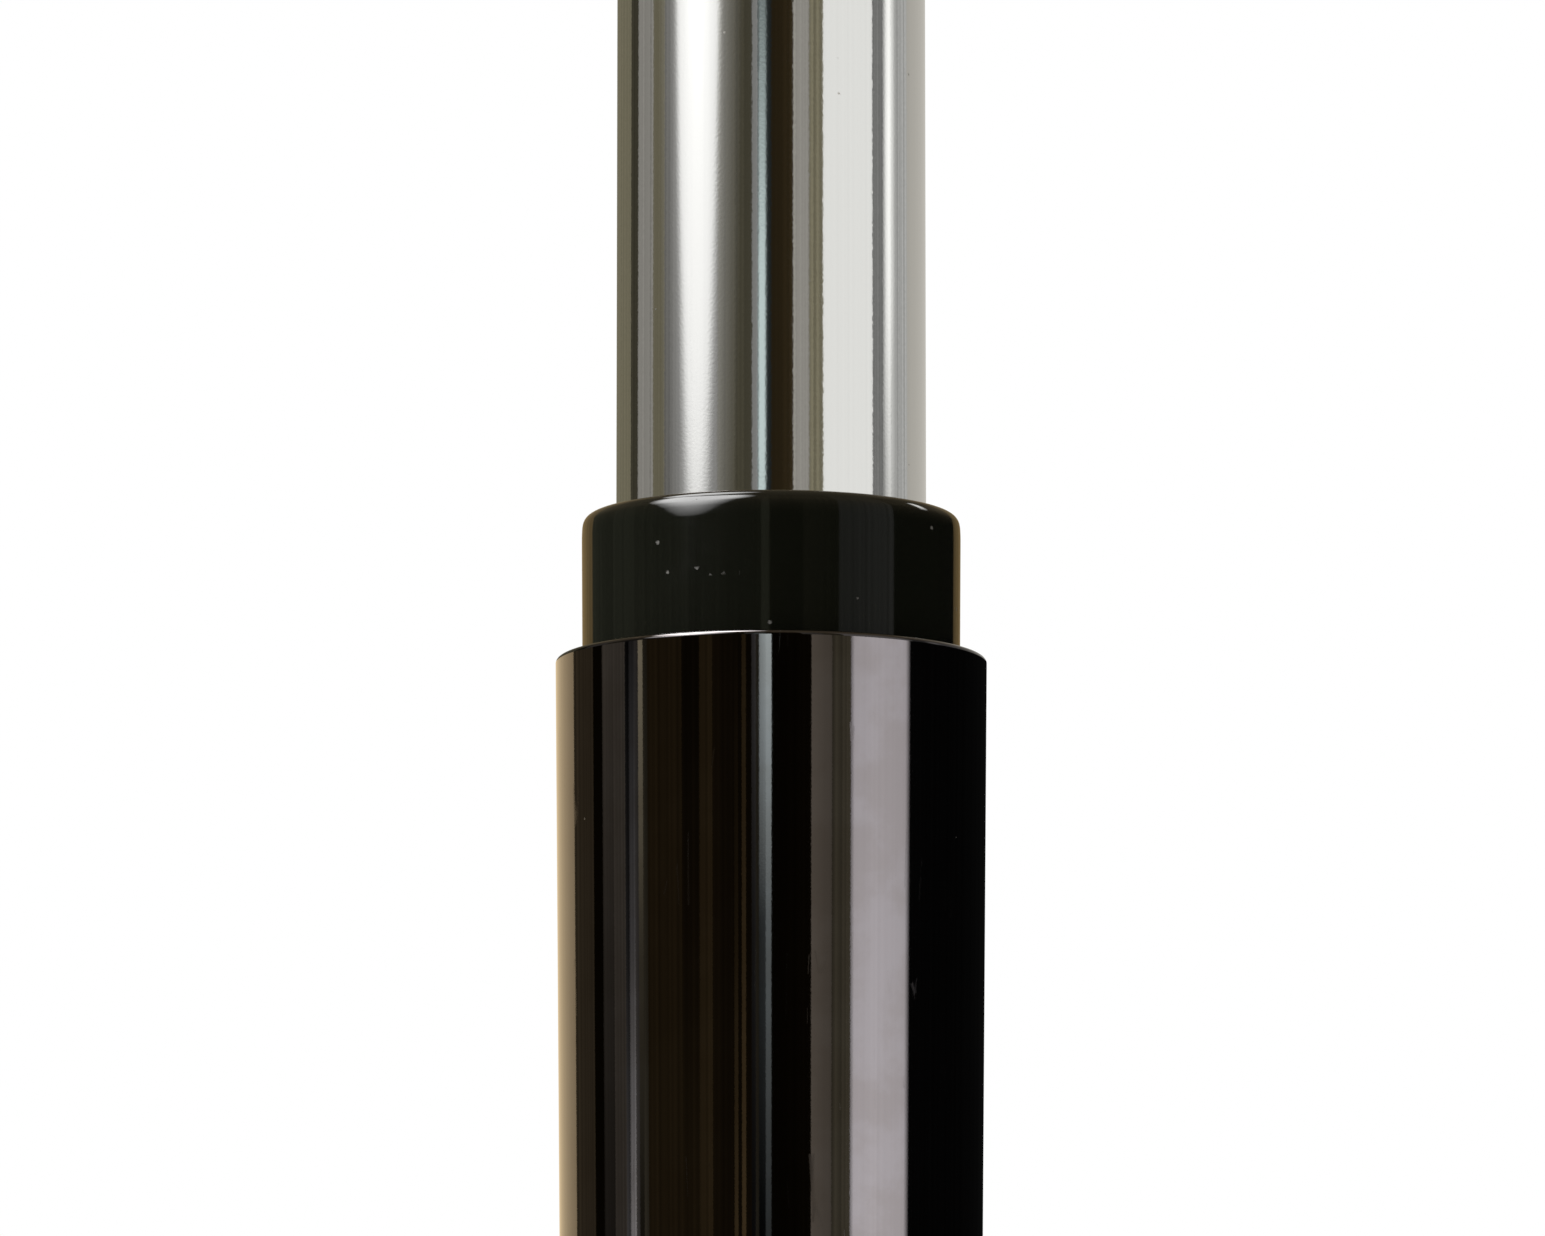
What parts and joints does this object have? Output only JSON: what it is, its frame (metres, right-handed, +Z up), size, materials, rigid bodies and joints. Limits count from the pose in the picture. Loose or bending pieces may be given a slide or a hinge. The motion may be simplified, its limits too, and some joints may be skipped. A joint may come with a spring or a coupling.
{
  "type": "telescopic lift cylinder",
  "caption": "Height-adjusting lift cylinder: a chrome tube slides and swivels in a black guide collar on a tapered black stand tube, with a release button on its top cone.",
  "frame": {"origin": "centre of the stand tube's foot, on the plane it stands on", "axes": "+Z up along the cylinder's axis, from the foot to the release button"},
  "size_m": [0.05, 0.05, 0.45],
  "materials": {
    "black_chrome": "mirror black chrome plate",
    "black_plastic": "gloss black moulded plastic",
    "chrome": "ground and polished chrome plate",
    "hard_chrome": "hard chrome on ground rod",
    "zinc_steel": "bright zinc plate",
    "bearing_steel": "hardened and polished",
    "spring_steel": "blackened spring steel",
    "drawn_steel": "cold drawn, oiled",
    "aluminium": "turned",
    "nylon": "natural nylon",
    "rubber": "matt black rubber"
  },
  "bodies": {
    "stand": {"stand_tube": "black_chrome", "base_cup": "zinc_steel", "guide_bush": "black_plastic", "wiper_ring": "rubber", "lower_race": "bearing_steel"},
    "rod": {"piston_rod": "hard_chrome", "rod_washer": "zinc_steel", "rod_clip": "spring_steel", "upper_race": "bearing_steel", "bump_stop": "rubber", "piston": "aluminium", "piston_guide_ring": "nylon", "piston_seal": "rubber", "piston_washer": "zinc_steel", "piston_nut": "zinc_steel"},
    "ball_ring": {"ball_cage": "nylon", "bearing_balls": "bearing_steel"},
    "cylinder": {"pressure_tube": "chrome", "end_washer": "zinc_steel", "rod_seal": "rubber", "rod_guide": "aluminium", "guide_oring": "rubber", "inner_cylinder": "drawn_steel", "valve_body": "aluminium", "body_oring": "rubber", "valve_seal_lower": "rubber", "valve_spacer": "nylon", "valve_seal_upper": "rubber", "valve_washer": "zinc_steel", "valve_cap": "black_plastic"},
    "valve": {"valve_pin": "drawn_steel", "release_button": "zinc_steel"}
  },
  "joints": [
    {"name": "seat_swivel", "type": "hinge", "parent": "stand", "child": "rod", "pos_m": [0, 0, 0.018], "axis": [0, 0, 1], "continuous": true},
    {"name": "ball_ring_spin", "type": "hinge", "parent": "stand", "child": "ball_ring", "pos_m": [0, 0, 0.018], "axis": [0, 0, 1], "continuous": true},
    {"name": "seat_lift", "type": "slide", "parent": "rod", "child": "cylinder", "axis": [0, 0, 1], "range_m": [-0.122, 0]},
    {"name": "release_press", "type": "slide", "parent": "cylinder", "child": "valve", "axis": [0, 0, 1], "range_m": [-0.003, 0], "stiffness_N_per_m": 2000, "springref_m": 0.002}
  ],
  "couplings": [
    {"joint": "ball_ring_spin", "follows": "seat_swivel", "ratio": 0.5}
  ]
}
